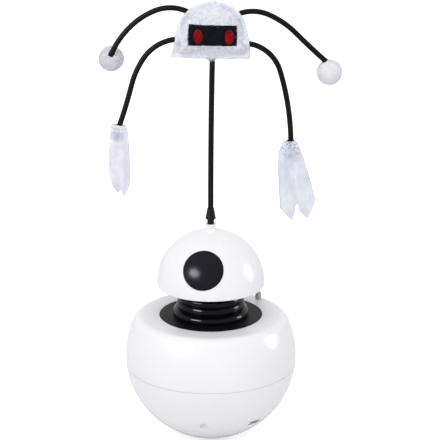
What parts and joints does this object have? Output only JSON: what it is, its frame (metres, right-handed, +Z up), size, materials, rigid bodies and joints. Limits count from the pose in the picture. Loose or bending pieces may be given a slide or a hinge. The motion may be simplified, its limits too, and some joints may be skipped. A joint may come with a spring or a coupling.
{
  "type": "automatic cat laser toy",
  "caption": "Ball-bodied cat toy with a turning dome head, a laser behind a round dark window, and a plug-in antenna with a felt head, curved arms, soft balls and ribbons.",
  "frame": {"origin": "centre of the base pad's underside, on the surface that the toy stands on", "axes": "+Z up along the turning axis of the head, -Y towards the front with the round dark window, +X to the right seen from the front"},
  "size_m": [0.1381, 0.1, 0.2589],
  "materials": {
    "white_shell": "glossy white with a faint lavender cast",
    "black_gloss": "glossy black",
    "black_plastic": "satin black",
    "grey_plastic": "glossy light grey",
    "rubber": "matt black",
    "dark_plate": "fine matt",
    "inner_plastic": "moulded, unpolished",
    "steel": "zinc plated",
    "iron": "as cast",
    "brass": "bright",
    "gear_plastic": "moulded acetal",
    "motor_metal": "plated",
    "cell_wrap": "shrink sleeve",
    "circuit_board": "solder resist",
    "black_foam": "satin black rubber over a springy core",
    "arm_cover": "soft white sleeve over a wire core",
    "white_felt": "needled felt",
    "visor_felt": "dark felt",
    "red_felt": "red felt",
    "pompom_fibre": "fluffy fibre",
    "satin": "soft satin ribbon"
  },
  "bodies": {
    "base": {"lower_bowl": "white_shell", "upper_shell": "white_shell", "base_pad": "rubber", "shell_screws": "steel", "counterweight": "iron", "cell_tray": "inner_plastic", "tray_screws": "steel", "battery_cell": "cell_wrap", "control_board": "circuit_board", "board_screws": "steel", "charge_socket": "motor_metal", "neck_collar": "black_gloss", "chassis": "inner_plastic", "chassis_screws": "steel", "lower_bush": "brass", "upper_bush": "brass", "thrust_washer": "steel", "gear_motor": "motor_metal", "drive_screws": "steel", "brush_block": "inner_plastic", "brush_wires": "brass", "switch_board": "circuit_board", "button_switch": "inner_plastic"},
    "pinion": {"motor_shaft": "steel", "motor_pinion": "brass"},
    "head": {"spindle": "steel", "spindle_gear": "gear_plastic", "slip_sleeve": "inner_plastic", "slip_rings": "brass", "spindle_clips": "steel", "head_underplate": "dark_plate", "head_screws": "steel", "head_dome": "white_shell", "eye_window": "black_gloss", "laser_module": "brass", "laser_holder": "inner_plastic", "holder_screws": "steel"},
    "button": {"mode_button": "grey_plastic", "switch_plunger": "inner_plastic"},
    "antenna": {"antenna_plug": "black_plastic", "antenna_rod": "black_foam", "arm_joiner": "inner_plastic", "felt_head": "white_felt", "visor_patch": "visor_felt", "eye_patches": "red_felt", "upper_left_arm": "arm_cover", "lower_left_arm": "arm_cover", "upper_right_arm": "arm_cover", "lower_right_arm": "arm_cover", "left_pompom": "pompom_fibre", "right_pompom": "pompom_fibre", "paddle": "satin", "streamer": "satin"}
  },
  "joints": [
    {"name": "head_spin", "type": "hinge", "parent": "base", "child": "head", "pos_m": [0, 0, 0.0912], "axis": [0, 0, 1], "continuous": true},
    {"name": "pinion_spin", "type": "hinge", "parent": "base", "child": "pinion", "pos_m": [0, -0.0161, 0.059], "axis": [0, 0, 1], "continuous": true},
    {"name": "button_press", "type": "slide", "parent": "base", "child": "button", "axis": [0, 0, -1], "range_m": [0, 0.001], "stiffness_N_per_m": 1200, "springref_m": -0.0004},
    {"name": "antenna_pull", "type": "slide", "parent": "head", "child": "antenna", "axis": [0, 0, 1], "range_m": [0, 0.01]}
  ],
  "couplings": [
    {"joint": "pinion_spin", "follows": "head_spin", "ratio": -3}
  ]
}
